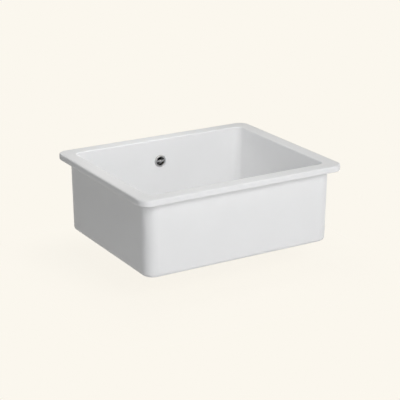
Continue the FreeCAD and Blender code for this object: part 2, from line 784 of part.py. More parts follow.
def basket_plug():
    """Rubber stopper: a thick centre clamped under the cup and a falling skirt with a lip."""
    body = new_body("basket_plug")
    revolve(body, [
        (STEM, PLUG_FOOT),
        (STEM, CUP_FOOT),
        (f"{STEM} + plug_boss_width", CUP_FOOT),
        (f"{STEM} + plug_boss_width + plug_bevel", f"{CUP_FOOT} - plug_relief"),
        (f"{RETAINER} + plug_shoulder", f"{CUP_FOOT} - plug_relief"),
        (PLUG, "plug_room + plug_lip", "plug_lip / 2"),
        (PLUG, "plug_room"),
        (f"{PLUG} - plug_lip", "plug_room"),
        (f"{PLUG} - plug_lip - plug_lip_slope", "plug_room + plug_lip"),
        (f"{RETAINER} + plug_shoulder", PLUG_FOOT),
    ])
    return place(body, z=PLATE)


def plug_retainer():
    ring = washer("plug_retainer", RETAINER, STEM, "retainer_thickness")
    return place(ring, z=f"{PLATE} + {RETAINER_FOOT}")


def stem_nut():
    """Thin hexagon nut that clamps retainer, plug and cup against the stem's shoulder."""
    blank = document.addObject("Part::Prism", "stem_nut_blank")
    blank.Polygon = HEXAGON
    bind(blank, Circumradius=f"({STEM} + stem_nut_wall) / cos({180 / HEXAGON})",
         Height="stem_nut_height")
    bore = document.addObject("Part::Cylinder", "stem_nut_bore")
    bind(bore, Radius=STEM, Height=f"stem_nut_height + {2 * OVERCUT}")
    bore.Placement = Placement(Vector(0, 0, -OVERCUT), Rotation())
    nut = document.addObject("Part::Cut", "stem_nut")
    nut.Base = blank
    nut.Tool = bore
    nut.Label = "stem_nut"
    return place(nut, z=f"{PLATE} + {NUT_FOOT}")


# ---------------------------------------------------------------- the overflow

def overflow_rosette():
    """Chromed ring with a skirt in the hole, and a bar with a hub that leaves two half moons."""
    body = new_body("overflow_rosette")
    revolve(body, [
        (SKIRT_BORE, "-skirt_length"),
        (f"{SKIRT_BORE} + skirt_wall", "-skirt_length"),
        (f"{SKIRT_BORE} + skirt_wall", "0"),
        (ROSETTE, "0"),
        (ROSETTE, "rosette_rise / 3", "rosette_rise / 5"),
        (f"{ROSETTE} - rosette_bevel", "rosette_rise", "rosette_rise * 2 / 5"),
        (f"{SKIRT_BORE} + skirt_wall", "rosette_rise", "rosette_rise / 4"),
        (SKIRT_BORE, "rosette_rise / 4", "rosette_rise / 3"),
    ])
    half = "bar_width / 2"
    end = f"({SKIRT_BORE} + skirt_wall / 2)"
    bar = outline(new_sketch(body, "XY_Plane"), [
        (f"-{end}", f"-{half}"), (end, f"-{half}"), (end, half), (f"-{end}", half),
    ])
    pad(body, bar, "bar_depth", reverse=True)
    pad(body, circle(new_sketch(body, "XY_Plane", z="-bar_depth"), BUTTON),
        "bar_depth + button_rise")
    hole = circle(new_sketch(body, "XY_Plane", z="button_rise"),
                  "overflow_screw_radius + overflow_screw_room")
    pocket(body, hole)
    return place_on_wall(body)


def overflow_screw():
    """Raised-head screw through the rosette's hub into the head's insert."""
    body = new_body("overflow_screw")
    reach = f"(button_rise + {HEAD_SEAT} + boss_sink + insert_length)"
    revolve(body, [
        ("0", "overflow_screw_crown"),
        ("overflow_screw_head", "overflow_screw_edge", "overflow_screw_edge * 2 / 3"),
        ("overflow_screw_head", "0"),
        ("overflow_screw_radius", "0"),
        ("overflow_screw_radius", f"-{reach} + screw_point"),
        ("overflow_screw_radius - screw_point", f"-{reach}"),
        ("0", f"-{reach}"),
    ])
    half = "overflow_screw_slot / 2"
    slot = outline(new_sketch(body, "XY_Plane", z="overflow_screw_crown"), [
        ("-overflow_screw_head", f"-{half}"), ("overflow_screw_head", f"-{half}"),
        ("overflow_screw_head", half), ("-overflow_screw_head", half),
    ])
    pocket(body, slot, "overflow_screw_crown / 2")
    return place_on_wall(body, "button_rise")


def overflow_gasket():
    """Rubber ring between the basin's outside and the overflow head."""
    ring = washer("overflow_gasket", f"{HEAD_FLANGE} - overflow_gasket_inset",
                  "overflow_hole + overflow_gasket_room", "overflow_gasket_thickness")
    return place_on_wall(ring, f"(-{HEAD_SEAT})")


def overflow_head():
    """Moulded cup behind the wall with a central boss and a threaded spigot pointing down."""
    body = new_body("overflow_head")
    back = f"(chamber_wall - {HEAD_DEPTH})"
    inner = f"({CHAMBER} - chamber_wall)"
    insert_foot = "(-boss_sink - insert_length)"
    blind_end = f"({insert_foot} - boss_wall)"
    screw_hole = "overflow_screw_radius + overflow_screw_room"
    revolve(body, [
        ("0", f"-{HEAD_DEPTH}"),
        (CHAMBER, f"-{HEAD_DEPTH}", "chamber_wall"),
        (CHAMBER, "-head_flange_thickness"),
        (HEAD_FLANGE, "-head_flange_thickness"),
        (HEAD_FLANGE, "0"),
        (inner, "0"),
        (inner, back),
        (BOSS, back),
        (BOSS, "-boss_sink"),
        (OVERFLOW_INSERT, "-boss_sink"),
        (OVERFLOW_INSERT, insert_foot),
        (screw_hole, insert_foot),
        (screw_hole, blind_end),
        ("0", blind_end),
    ])
    spigot = circle(new_sketch(body, "XZ_Plane", y=f"-{SPIGOT_AXIS}", z=inner), NOZZLE)
    pad(body, spigot, f"{SPIGOT_END} - {inner}")
    bore = circle(new_sketch(body, "XZ_Plane", y=f"-{SPIGOT_AXIS}", z=f"{BOSS} + boss_room"),
                  NOZZLE_BORE)
    pocket(body, bore, SPIGOT_END, reverse=True)
    socket = circle(new_sketch(body, "XZ_Plane", y=f"-{SPIGOT_AXIS}",
                               z=f"{SPIGOT_END} - socket_depth"), "pipe_radius + pipe_room")
    pocket(body, socket, f"socket_depth + {OVERCUT}", reverse=True)
    return place_on_wall(body, f"(-{HEAD_SEAT})")


def overflow_insert():
    """Brass thread in the head's boss."""
    ring = washer("overflow_insert", OVERFLOW_INSERT, "overflow_screw_radius", "insert_length")
    return place_on_wall(ring, f"(-{HEAD_SEAT} - boss_sink - insert_length)")


def pipe_ends():
    """World y and z of the pipe's upper end, and the y of its lower end, inside their sockets."""
    upper = along_wall(f"(socket_depth - {SPIGOT_END})", f"(-{HEAD_SEAT} - {SPIGOT_AXIS})")
    return upper, f"({INLET_END} - socket_depth)"


def overflow_pipe():
    """Rigid pipe from the head down behind the basin and forward to the waste body."""
    body = new_body("overflow_pipe")
    (upper_y, upper_z), lower_y = pipe_ends()
    rise = f"({upper_z} - {INLET})"
    bend_y = f"({upper_y} - {rise} * {DRIFT} - {lower_y})"
    path = outline(new_sketch(body, "YZ_Plane"),
                   [("0", "0"), (bend_y, "0", "pipe_bend"), (f"{upper_y} - {lower_y}", rise)],
                   closed=False)
    section = circle(new_sketch(body, "XZ_Plane"), "pipe_radius")
    circle(section, "pipe_radius - pipe_wall")
    tube = body.newObject("PartDesign::AdditivePipe", "overflow_pipe_run")
    tube.Profile = section
    tube.Spine = (path, [])
    document.recompute()
    return place(body, y=lower_y, z=INLET)


def compression_nut(name, y, z, angle):
    """Ribbed nut on a nozzle's thread, its taper closing on the rubber ring round the pipe."""
    body = new_body(name)
    mouth = "(nut_length - nut_lip)"
    revolve(body, [
        (NOZZLE, "0"),
        (NUT, "0"),
        (NUT, "nut_length - nut_chamfer"),
        (f"{NUT} - nut_chamfer", "nut_length"),
        ("pipe_radius + 2 * pipe_room", "nut_length"),
        ("pipe_radius + 2 * pipe_room", mouth),
        (NOZZLE, f"{mouth} - nut_taper"),
    ])
    half = "grip_rib_width / 2"
    root, crest = f"{NUT} - {OVERLAP}", f"{NUT} + grip_rib_rise"
    rib = outline(new_sketch(body, "XY_Plane", z="grip_rib_margin"), [
        (root, f"-{half}"), (crest, f"-{half}"), (crest, half), (root, half),
    ])
    around(body, pad(body, rib, "nut_length - nut_chamfer - 2 * grip_rib_margin"), GRIP_RIBS)
    return place(body, y, z, angle)


def compression_ring(name, y, z, angle):
    """Tapered rubber ring between a nozzle's end and the nut's taper; its foot is the nozzle's end."""
    body = new_body(name)
    shoulder = "(nut_length - nut_lip - nut_taper - nut_grip)"
    revolve(body, [
        ("pipe_radius", "0"),
        (f"{NOZZLE} - ring_room", "0"),
        (f"{NOZZLE} - ring_room", f"{shoulder} - ring_room"),
        ("pipe_radius + ring_edge", f"{shoulder} + nut_taper - ring_stop"),
        ("pipe_radius", f"{shoulder} + nut_taper - ring_stop"),
    ])
    return place(body, y, z, angle)


def compression_joints():
    """A nut and a ring at each end of the pipe."""
    depth = f"(-{HEAD_SEAT} - {SPIGOT_AXIS})"
    down = "180 - draft_angle"
    return [
        compression_nut("overflow_nut_upper", *along_wall(f"(nut_grip - {SPIGOT_END})", depth), down),
        compression_ring("overflow_ring_upper", *along_wall(f"(-{SPIGOT_END})", depth), down),
        compression_nut("overflow_nut_lower", f"{INLET_END} - nut_grip", INLET, "-90"),
        compression_ring("overflow_ring_lower", INLET_END, INLET, "-90"),
    ]


# ---------------------------------------------------------------- build and write

def check(nodes):
    """Stop if any object failed or any sub-part isn't one valid closed solid."""
    for item in document.Objects:
        if "Invalid" in item.State or "Error" in item.State:
            raise RuntimeError(f"{item.Label} failed: {item.State}")
    for node in nodes:
        shape = node.Shape
        if shape.isNull() or not shape.isValid() or len(shape.Solids) != 1:
            raise RuntimeError(f"{node.Label} is not one valid solid")


def write(nodes):
    os.makedirs("parts", exist_ok=True)
    for node in nodes:
        node.Shape.exportStep(f"parts/{node.Label}.step")
        print(f"{node.Label:22s} {node.Shape.Volume / 1000:9.2f} cm3")


fill_sheet()
sub_parts = [
    basin(),
    strainer_dish(), dish_seal(), waste_gasket(), waste_body(), hub_insert(), screw_washer(),
    fixing_screw(),
    basket_cup(), basket_stem(), basket_grip(), basket_knob(), basket_plug(), plug_retainer(),
    stem_nut(),
    overflow_rosette(), overflow_screw(), overflow_gasket(), overflow_head(), overflow_insert(),
    overflow_pipe(), *compression_joints(),
]
document.recompute()
check(sub_parts)
write(sub_parts)
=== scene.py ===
"""Looks of an inset fireclay sink with its basket strainer waste and its overflow set.

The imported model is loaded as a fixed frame, in metres, with its origin at the centre of the
rim's underside. Each sub-assembly below dresses its own pieces and adds the ones whose form is
finer than the frame's solids.
"""
import logging
import math
from dataclasses import dataclass
from enum import Enum
from functools import cache

import bmesh
import bpy
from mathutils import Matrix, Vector


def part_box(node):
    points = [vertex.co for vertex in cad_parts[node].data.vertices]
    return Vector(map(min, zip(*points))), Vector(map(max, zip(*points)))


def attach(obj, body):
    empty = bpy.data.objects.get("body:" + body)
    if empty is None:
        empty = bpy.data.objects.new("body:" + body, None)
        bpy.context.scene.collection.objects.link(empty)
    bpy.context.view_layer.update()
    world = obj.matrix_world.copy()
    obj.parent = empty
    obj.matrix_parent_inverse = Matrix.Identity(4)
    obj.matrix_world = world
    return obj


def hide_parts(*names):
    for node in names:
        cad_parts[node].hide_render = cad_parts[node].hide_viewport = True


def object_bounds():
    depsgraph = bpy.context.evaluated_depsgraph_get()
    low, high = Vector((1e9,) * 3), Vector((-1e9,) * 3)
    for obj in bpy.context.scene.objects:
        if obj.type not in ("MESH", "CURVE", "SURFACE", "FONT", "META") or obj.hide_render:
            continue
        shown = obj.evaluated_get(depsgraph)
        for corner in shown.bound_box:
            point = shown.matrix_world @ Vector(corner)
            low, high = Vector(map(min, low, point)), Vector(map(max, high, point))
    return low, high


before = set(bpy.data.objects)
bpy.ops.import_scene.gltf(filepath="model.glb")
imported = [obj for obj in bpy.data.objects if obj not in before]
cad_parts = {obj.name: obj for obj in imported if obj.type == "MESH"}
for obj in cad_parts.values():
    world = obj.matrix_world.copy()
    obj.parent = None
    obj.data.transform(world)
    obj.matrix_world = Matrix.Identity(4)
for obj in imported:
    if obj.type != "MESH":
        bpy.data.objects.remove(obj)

log = logging.getLogger("sink")

CAD_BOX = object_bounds()
Colour = tuple[float, float, float]
Point = tuple[float, float, float]
Span = tuple[float, float]
Socket = bpy.types.NodeSocket


class Body(Enum):
    """The rigid bodies that pieces ride on."""

    SINK = "sink"
    BASKET = "basket"


class Slot(Enum):
    """The record's material slots."""

    PLASTIC = "black_plastic"


def linear(level: int) -> float:
    """Linear light of an 8-bit display level, by the sRGB curve."""
    share = level / 255
    return share / 12.92 if share <= 0.04045 else ((share + 0.055) / 1.055) ** 2.4


def shade(red: int, green: int, blue: int) -> Colour:
    """Linear colour of three 8-bit display levels."""
    return linear(red), linear(green), linear(blue)


def toned(colour: Colour, tone: float) -> Colour:
    """The colour with every part of it scaled by the tone."""
    return tuple(part * tone for part in colour)


def opaque(colour: Socket | Colour) -> Socket | tuple[float, ...]:
    """A plain colour with full alpha; a socket as it is."""
    return colour if isinstance(colour, Socket) else (*colour, 1.0)


# ---------------------------------------------------------------- node graphs

# The Mix node's sockets in its colour mode.
MIX_SHARE, MIX_FIRST, MIX_SECOND = 0, 6, 7
MIX_RESULT = 2


@dataclass(frozen=True)
class Grain:
    """A noise pattern.

    Attributes:
        scale: Its fineness, per metre.
        detail: How many finer layers it has.
        roughness: Weight of each finer layer.
    """

    scale: float
    detail: float = 3.0
    roughness: float = 0.5


class Graph:
    """A node tree that is built by short calls.

    Args:
        tree: The node tree to fill. Its nodes are removed first.
    """

    def __init__(self, tree: bpy.types.NodeTree) -> None:
        """Empty the tree and keep it."""
        self.tree = tree
        tree.nodes.clear()

    def add(self, kind: str, inputs: dict | None = None, **settings: object) -> bpy.types.Node:
        """Add a node.

        Args:
            kind: The node type without its ShaderNode prefix.
            inputs: Values or output sockets by input name or index.
            **settings: The node's own properties.

        Returns:
            The new node.
        """
        node = self.tree.nodes.new("ShaderNode" + kind)
        for name, value in settings.items():
            setattr(node, name, value)
        self.feed(node, inputs or {})
        return node

    def feed(self, node: bpy.types.Node, inputs: dict) -> None:
        """Set a node's inputs.

        Args:
            node: The node.
            inputs: Values or output sockets by input name or index.
        """
        for name, value in inputs.items():
            socket = node.inputs[name]
            if isinstance(value, Socket):
                self.tree.links.new(value, socket)
            else:
                socket.default_value = value

    def math(self, operation: str, *values: object) -> Socket:
        """Result of a Math node on the values."""
        node = self.add("Math", dict(enumerate(values)), operation=operation)
        return node.outputs[0]

    def distance(self, x: Socket, y: Socket) -> Socket:
        """Length of the flat vector with the parts x and y."""
        squares = [self.math("MULTIPLY", part, part) for part in (x, y)]
        return self.math("SQRT", self.math("ADD", *squares))

    def ramp(self, value: Socket, low: float, high: float, bottom: float = 0.0,
             top: float = 1.0) -> Socket:
        """The value mapped smoothly from low..high to bottom..top.

        Args:
            value: The socket to map.
            low: The value that gives bottom.
            high: The value that gives top.
            bottom: The result below low.
            top: The result above high.

        Returns:
            The mapped socket.
        """
        node = self.add("MapRange", {"Value": value, "From Min": low, "From Max": high,
                                     "To Min": bottom, "To Max": top},
                        interpolation_type="SMOOTHSTEP")
        return node.outputs["Result"]

    def mix(self, share: Socket, first: Socket | Colour, second: Socket | Colour) -> Socket:
        """Colour between two others.

        Args:
            share: How much of the second colour there is.
            first: The colour at no share.
            second: The colour at full share.

        Returns:
            The mixed colour.
        """
        node = self.add("Mix", {MIX_SHARE: share, MIX_FIRST: opaque(first),
                                MIX_SECOND: opaque(second)}, data_type="RGBA")
        return node.outputs[MIX_RESULT]

    def blend(self, share: Socket, first: Socket, second: Socket) -> Socket:
        """Shader between first and second by share."""
        return self.add("MixShader", {0: share, 1: first, 2: second}).outputs[0]

    def noise(self, place: Socket, grain: Grain) -> Socket:
        """Noise between 0 and 1 at a place."""
        node = self.add("TexNoise", {"Vector": place, "Scale": grain.scale,
                                     "Detail": grain.detail, "Roughness": grain.roughness})
        return node.outputs["Fac"]

    def bump(self, height: Socket, distance: float, below: Socket | None = None) -> Socket:
        """Normal bent by a height.

        Args:
            height: The height, between 0 and 1.
            distance: What a height of 1 stands for, in metres.
            below: The normal to bend, or the surface's own.

        Returns:
            The bent normal.
        """
        inputs = {"Height": height, "Distance": distance, "Strength": 1.0}
        if below is not None:
            inputs["Normal"] = below
        return self.add("Bump", inputs).outputs["Normal"]

    def place(self) -> Socket:
        """The surface's place in its own object, in metres."""
        return self.add("TexCoord").outputs["Object"]


def new_material(name: str) -> tuple[bpy.types.Material, Graph]:
    """Make an empty material.

    Args:
        name: Its name.

    Returns:
        The material and its graph.
    """
    material = bpy.data.materials.new(name)
    material.use_nodes = True
    return material, Graph(material.node_tree)


# ---------------------------------------------------------------- finishes

# The middle of a noise's range, and a narrower middle that gives a sharper change.
MIDDLE_SPAN: Span = (0.3, 0.7)
NARROW_SPAN: Span = (0.35, 0.65)
# The tone of a finish where it is worn or dull.
DULL_TONE = 0.93


@dataclass(frozen=True)
class Finish:
    """What every finish has.

    Attributes:
        name: Its name.
        colour: Its colour.
        roughness: Its roughness, from 0 for a mirror to 1.
    """

    name: str
    colour: Colour
    roughness: float

    @cache
    def material(self) -> bpy.types.Material:
        """Make the finish's material, once.

        Returns:
            The material.
        """
        material, graph = new_material(self.name)
        shader = graph.add("BsdfPrincipled")
        self.dress(graph, shader)
        graph.add("OutputMaterial", {"Surface": shader.outputs["BSDF"]})
        return material

    def dress(self, graph: Graph, shader: bpy.types.Node) -> None:
        """Fill the shader's inputs.

        Args:
            graph: The material's graph.
            shader: Its shader node.
        """
        raise NotImplementedError


@dataclass(frozen=True)
class Glaze(Finish):
    """White glaze on fireclay, with bare clay on the ground underside.

    Attributes:
        foot: Height of the ground underside, in metres.
        ripple: Depth of the slow waves, in metres.
        orange_peel: Depth of the fine dimples, in metres.
        clay: Colour of the bare clay.
        clay_roughness: Its roughness.
        edge: Heights over the foot at which the clay ends and the glaze is whole, in metres.
        thin_tone: Tone of the glaze where it is thinnest.
        grit_tone: Tone of the clay's dark grains.
        gloss_range: Least and most roughness, as shares of the finish's own.
        specular: Strength of the gloss.
        drift_grain: Pattern of the glaze's tone.
        grit_grain: Pattern of the clay's grains.
        smear_grain: Pattern of the gloss.
        ripple_grain: Pattern of the slow waves.
        peel_grain: Pattern of the fine dimples.
    """

    foot: float
    ripple: float
    orange_peel: float
    clay: Colour = (0.78, 0.72, 0.62)
    clay_roughness: float = 0.85
    edge: Span = (0.0002, 0.0010)
    thin_tone: float = 0.985
    grit_tone: float = 0.86
    gloss_range: Span = (0.92, 1.08)
    specular: float = 0.45
    drift_grain: Grain = Grain(9.0, 2.0)
    grit_grain: Grain = Grain(900.0, 4.0)
    smear_grain: Grain = Grain(30.0)
    ripple_grain: Grain = Grain(14.0, 1.0)
    peel_grain: Grain = Grain(420.0, 2.0)

    def dress(self, graph: Graph, shader: bpy.types.Node) -> None:
        """Glaze with a slow tone drift, faint ripples and orange peel, and gritty clay.

        Args:
            graph: The material's graph.
            shader: Its shader node.
        """
        place = graph.place()
        height = graph.add("SeparateXYZ", {"Vector": place}).outputs["Z"]
        clay_end, glaze_start = self.edge
        bare = graph.ramp(height, self.foot + glaze_start, self.foot + clay_end)
        drift = graph.ramp(graph.noise(place, self.drift_grain), *MIDDLE_SPAN)
        glaze = graph.mix(drift, toned(self.colour, self.thin_tone), self.colour)
        grit = graph.ramp(graph.noise(place, self.grit_grain), *NARROW_SPAN)
        clay = graph.mix(grit, toned(self.clay, self.grit_tone), self.clay)
        least, most = self.gloss_range
        smear = graph.ramp(graph.noise(place, self.smear_grain), *MIDDLE_SPAN,
                           self.roughness * least, self.roughness * most)
        roughness = graph.add("MapRange", {"Value": bare, "To Min": smear,
                                           "To Max": self.clay_roughness})
        slow = graph.bump(graph.noise(place, self.ripple_grain), self.ripple)
        peel = graph.bump(graph.noise(place, self.peel_grain), self.orange_peel, slow)
        graph.feed(shader, {"Base Color": graph.mix(bare, glaze, clay),
                            "Roughness": roughness.outputs["Result"], "Normal": peel,
                            "Specular IOR Level": self.specular})


@dataclass(frozen=True)
class SpunSteel(Finish):
    """Stainless steel with the fine rings that spinning and buffing leave about the Z axis.

    Attributes:
        groove: Depth of the rings, in metres.
        spin: Strength of the gloss's stretch round the axis.
        crease: Reach of the tarnish out of creases and holes, in metres.
        crease_tone: Tone that the tarnish leaves there.
        crease_span: Shares of open view between which the tarnish fades out.
        crease_samples: Rays that look for a crease.
        ring_share: Weight of the rings in the marks.
        scuff_share: Weight of the scuffs in the marks.
        gloss_range: Least and most roughness, as shares of the finish's own.
        ring_grain: Pattern of the rings.
        scuff_grain: Pattern of the scuffs.
    """

    groove: float = 0.000010
    spin: float = 0.55
    crease: float = 0.005
    crease_tone: float = 0.55
    crease_span: Span = (0.35, 0.95)
    crease_samples: int = 8
    ring_share: float = 0.6
    scuff_share: float = 0.4
    gloss_range: Span = (0.75, 1.3)
    ring_grain: Grain = Grain(1500.0)
    scuff_grain: Grain = Grain(220.0, 5.0, 0.7)

    def dress(self, graph: Graph, shader: bpy.types.Node) -> None:
        """Rings by distance from the axis, light scuffs and painted shade in the creases.

        Args:
            graph: The material's graph.
            shader: Its shader node.
        """
        place = graph.place()
        parts = graph.add("SeparateXYZ", {"Vector": place}).outputs
        ring = graph.add("CombineXYZ", {"X": graph.distance(parts["X"], parts["Y"]),
                                        "Y": parts["Z"]})
        grooves = graph.noise(ring.outputs["Vector"], self.ring_grain)
        scuffs = graph.noise(place, self.scuff_grain)
        marks = graph.math("ADD", graph.math("MULTIPLY", grooves, self.ring_share),
                           graph.math("MULTIPLY", scuffs, self.scuff_share))
        worn = graph.mix(graph.ramp(marks, *NARROW_SPAN), self.colour,
                         toned(self.colour, DULL_TONE))
        # Painted shade: ambient occlusion darkens the steel's colour in creases and holes.
        nook = graph.add("AmbientOcclusion", {"Distance": self.crease},
                         samples=self.crease_samples)
        crease_shade = graph.ramp(nook.outputs["AO"], *self.crease_span, self.crease_tone, 1.0)
        shaded = graph.add("VectorMath", {0: worn, "Scale": crease_shade}, operation="SCALE")
        least, most = self.gloss_range
        gloss = graph.ramp(marks, *NARROW_SPAN, self.roughness * least, self.roughness * most)
        turned = graph.add("Tangent", direction_type="RADIAL", axis="Z")
        graph.feed(shader, {"Base Color": shaded.outputs["Vector"], "Roughness": gloss,
                            "Normal": graph.bump(grooves, self.groove),
                            "Tangent": turned.outputs["Tangent"], "Anisotropic": self.spin,
                            "Metallic": 1.0})


@dataclass(frozen=True)
class Plated(Finish):
    """Bright plating or plain turned metal, with fingertip smears.

    Attributes:
        depth: Depth of the grain under the plating, in metres.
        smeared: Roughness of a smear, as a share of the finish's own.
        smear_span: The noise between whose values a smear's roughness grows.
        tone_span: The noise between whose values its tone changes.
        smear_grain: Pattern of the smears.
        metal_grain: Pattern of the grain.
    """

    depth: float = 0.0000015
    smeared: float = 2.0
    smear_span: Span = (0.4, 0.75)
    tone_span: Span = (0.3, 0.8)
    smear_grain: Grain = Grain(220.0)
    metal_grain: Grain = Grain(1500.0, 2.0)

    def dress(self, graph: Graph, shader: bpy.types.Node) -> None:
        """Smears in the gloss and a faint grain under the plating.

        Args:
            graph: The material's graph.
            shader: Its shader node.
        """
        place = graph.place()
        smears = graph.noise(place, self.smear_grain)
        colour = graph.mix(graph.ramp(smears, *self.tone_span), self.colour,
                           toned(self.colour, DULL_TONE))
        gloss = graph.ramp(smears, *self.smear_span, self.roughness,
                           self.roughness * self.smeared)
        normal = graph.bump(graph.noise(place, self.metal_grain), self.depth)
        graph.feed(shader, {"Base Color": colour, "Roughness": gloss, "Normal": normal,
                            "Metallic": 1.0})


@dataclass(frozen=True)
class Moulded(Finish):
    """Moulded plastic or rubber with a fine tool texture.

    Attributes:
        texture: Depth of the tool texture, in metres.
        sheen: Weight of the sheen that rubber dust gives.
        parting: Half the width of the parting line in the plane X = 0, or none.
        gloss_range: Least and most roughness, as shares of the finish's own.
        tool_grain: Pattern of the tool texture.
        flow_grain: Pattern of the flow marks.
    """

    texture: float = 0.00001
    sheen: float = 0.0
    parting: float = 0.0
    gloss_range: Span = (0.9, 1.1)
    tool_grain: Grain = Grain(1400.0, 2.0)
    flow_grain: Grain = Grain(40.0)

    def dress(self, graph: Graph, shader: bpy.types.Node) -> None:
        """Fine texture, slow flow marks, an uneven gloss and the mould's parting line.

        Args:
            graph: The material's graph.
            shader: Its shader node.
        """
        place = graph.place()
        flow = graph.noise(place, self.flow_grain)
        colour = graph.mix(graph.ramp(flow, *MIDDLE_SPAN), self.colour,
                           toned(self.colour, DULL_TONE))
        least, most = self.gloss_range
        gloss = graph.ramp(flow, *MIDDLE_SPAN, self.roughness * least, self.roughness * most)
        normal = graph.bump(graph.noise(place, self.tool_grain), self.texture)
        if self.parting:
            across = graph.add("SeparateXYZ", {"Vector": place}).outputs["X"]
            ridge = graph.ramp(graph.math("ABSOLUTE", across), 0.0, self.parting, 1.0, 0.0)
            normal = graph.bump(ridge, self.parting / 2, normal)
        graph.feed(shader, {"Base Color": colour, "Roughness": gloss, "Normal": normal,
                            "Sheen Weight": self.sheen})


STEEL = SpunSteel("spun_stainless", (0.52, 0.52, 0.52), 0.20)
CHROME = Plated("bright_chrome", (0.64, 0.645, 0.655), 0.12)
BRASS = Plated("dull_brass", (0.36, 0.26, 0.115), 0.40)
RUBBER = Moulded("nitrile_rubber", (0.018, 0.018, 0.019), 0.62, texture=0.00002, sheen=0.05)
PLASTIC = Moulded("black_polypropylene", (0.026, 0.026, 0.028), 0.40, parting=0.00030)


# ---------------------------------------------------------------- threads

KEPT_NORMAL = "kept_normal"
# The length of a kept normal that still counts. A whole one has 1 and a cleared one 0.
KEPT_LENGTH = 0.5
# The angle between faces, in radians, over which their edge stays sharp.
SHARP_ANGLE = math.radians(32)
# Distances in metres: two places count as one, a cut takes up a vertex, a vertex counts as on
# the spigot's radius, and a vertex counts as within its free end.
SAME_PLACE = 1e-6
CUT_REACH = 1e-7
ON_RADIUS = 1.5e-4
END_REACH = 1e-4


@dataclass(frozen=True)
class Thread:
    """An outside thread on a plain spigot of the frame.

    Attributes:
        foot: The spigot's free end on its axis, in metres.
        along: Direction of the axis from the free end.
        length: Length of the threaded run.
        crest: Radius over the crests, which is the plain spigot's.
        root: Radius at the roots.
        pitch: Distance from crest to crest.
        sectors: Steps round the thread.
        rows: Steps along one pitch.
        steepness: Steepness of the flanks, where 1 gives a plain wave.
        depth: How far the hidden face lies below the roots.
        relief: How far the spigot is turned down below the roots.
        shoulder: Length of the slope up to the plain spigot.
    """

    foot: Point
    along: Point
    length: float
    crest: float
    root: float
    pitch: float
    sectors: int = 72
    rows: int = 10
    steepness: float = 1.5
    depth: float = 0.0004
    relief: float = 0.00012
    shoulder: float = 0.0005

    def station(self, place: Vector) -> tuple[float, float]:
        """Where a place lies by the axis.

        Args:
            place: The place, in metres.

        Returns:
            Its distance along the axis and its distance from the axis.
        """
        offset = place - Vector(self.foot)
        along = offset.dot(Vector(self.along))
        return along, (offset - along * Vector(self.along)).length

    def turn_down(self, work: bmesh.types.BMesh) -> None:
        """Take the plain spigot under the run down below the roots, with a shoulder at its end.

        Args:
            work: The mesh that holds the spigot.
        """
        axis = Vector(self.along)
        for distance in (self.length, self.length - self.shoulder):
            bmesh.ops.bisect_plane(work, geom=[*work.verts, *work.edges, *work.faces],
                                   dist=CUT_REACH, plane_co=Vector(self.foot) + axis * distance,
                                   plane_no=axis)
        kept = work.verts.layers.float_vector[KEPT_NORMAL]
        reach = self.length - self.shoulder
        for vertex in work.verts:
            along, radius = self.station(vertex.co)
            within = -END_REACH < along < self.length + SAME_PLACE
            if abs(radius - self.crest) > ON_RADIUS or not within:
                continue
            if along > reach - SAME_PLACE:
                vertex[kept] = (0.0, 0.0, 0.0)
            if along < reach + SAME_PLACE:
                centre = Vector(self.foot) + axis * along
                vertex.co = centre + (vertex.co - centre) * ((self.root - self.relief) / radius)

    def radius(self, turn: float, along: float) -> float:
        """Radius at a share of a turn and a distance along the run.

        Args:
            turn: Share of a full turn.
            along: Distance from the free end.

        Returns:
            The radius, flat over crests and roots, that runs out at both ends.
        """
        wave = 0.5 - 0.5 * math.cos(math.tau * (along / self.pitch - turn))
        ridge = min(1.0, max(0.0, self.steepness * wave - (self.steepness - 1) / 2))
        runout = min(1.0, along / self.pitch, (self.length - along) / self.pitch)
        return self.root + (self.crest - self.root) * ridge * max(0.0, runout)

    def cut(self, work: bmesh.types.BMesh) -> None:
        """Add the threaded sleeve as a closed ring.

        Args:
            work: The mesh that takes it.
        """
        count = round(self.length / self.pitch * self.rows)
        start, stop = self.shoulder / 2, self.length - self.shoulder / 2
        stations = [start + (stop - start) * row / count for row in range(count + 1)]
        profile = [(along, False) for along in stations] + [(stop, True), (start, True)]
        loops = [self.loop(work, along, hidden) for along, hidden in profile]
        made = []
        for near, far in zip(loops, loops[1:] + loops[:1]):
            for index in range(self.sectors):
                after = (index + 1) % self.sectors
                made.append(work.faces.new((near[index], near[after], far[after], far[index])))
        bmesh.ops.recalc_face_normals(work, faces=made)

    def loop(self, work: bmesh.types.BMesh, along: float,
             hidden: bool) -> list[bmesh.types.BMVert]:
        """Add one ring of the sleeve's vertices.

        Args:
            work: The mesh that takes them.
            along: Their distance from the free end.
            hidden: Whether they lie on the hidden face.

        Returns:
            The vertices, in order round the axis.
        """
        axis = Vector(self.along)
        side = axis.orthogonal().normalized()
        other = axis.cross(side)
        ring = []
        for sector in range(self.sectors):
            turn = sector / self.sectors
            radius = self.root - self.depth if hidden else self.radius(turn, along)
            arm = side * math.cos(math.tau * turn) + other * math.sin(math.tau * turn)
            ring.append(work.verts.new(Vector(self.foot) + axis * along + arm * radius))
        return ring


def restore_normals(mesh: bpy.types.Mesh) -> None:
    """Give kept vertices the frame's own normals back, and the new ones plain smooth normals.

    Args:
        mesh: The mesh, whose kept normals are in a layer of its own.
    """
    layer = mesh.attributes[KEPT_NORMAL]
    kept = [Vector(entry.vector) for entry in layer.data]
    mesh.attributes.remove(layer)
    old = mesh.attributes.get("custom_normal")
    if old is not None:
        mesh.attributes.remove(old)
    mesh.set_sharp_from_angle(angle=SHARP_ANGLE)
    plain = [Vector(entry.vector) for entry in mesh.corner_normals]
    normals = []
    for corner, normal in zip(mesh.loops, plain):
        own = kept[corner.vertex_index]
        normals.append(own.normalized() if own.length > KEPT_LENGTH else normal)
    mesh.normals_split_custom_set(normals)


# ---------------------------------------------------------------- sub-assemblies

